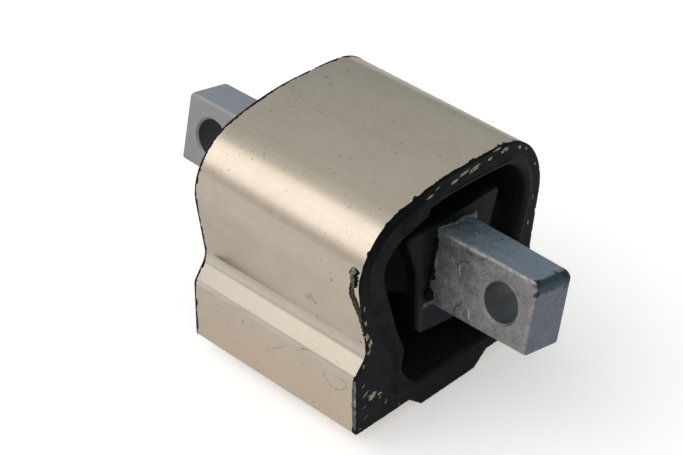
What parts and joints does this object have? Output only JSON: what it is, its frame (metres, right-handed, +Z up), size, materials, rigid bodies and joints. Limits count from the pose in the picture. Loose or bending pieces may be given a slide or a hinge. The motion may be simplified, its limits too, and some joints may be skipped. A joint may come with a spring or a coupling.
{
  "type": "transmission mount",
  "caption": "Bonded transmission mount: extruded aluminium housing with domed crown and feet, rubber spring and a cast core bar with a cross hole in each tang.",
  "frame": {"origin": "centre of the keel's underside, on the plane that the mount stands on", "axes": "+X along the core bar, +Y across the housing towards the side that the tangs' tops lean to, +Z up to the crown"},
  "size_m": [0.127, 0.0716, 0.07],
  "materials": {
    "housing_aluminium": "satin, champagne tone, fine extrusion lines along the bar",
    "black_rubber": "matt, moulded, with thin chipped flash over the metal ends",
    "cast_aluminium": "matt, blasted casting skin"
  },
  "bodies": {
    "root": {"outer_housing": "housing_aluminium", "rubber_body": "black_rubber", "inner_core": "cast_aluminium"}
  },
  "joints": []
}
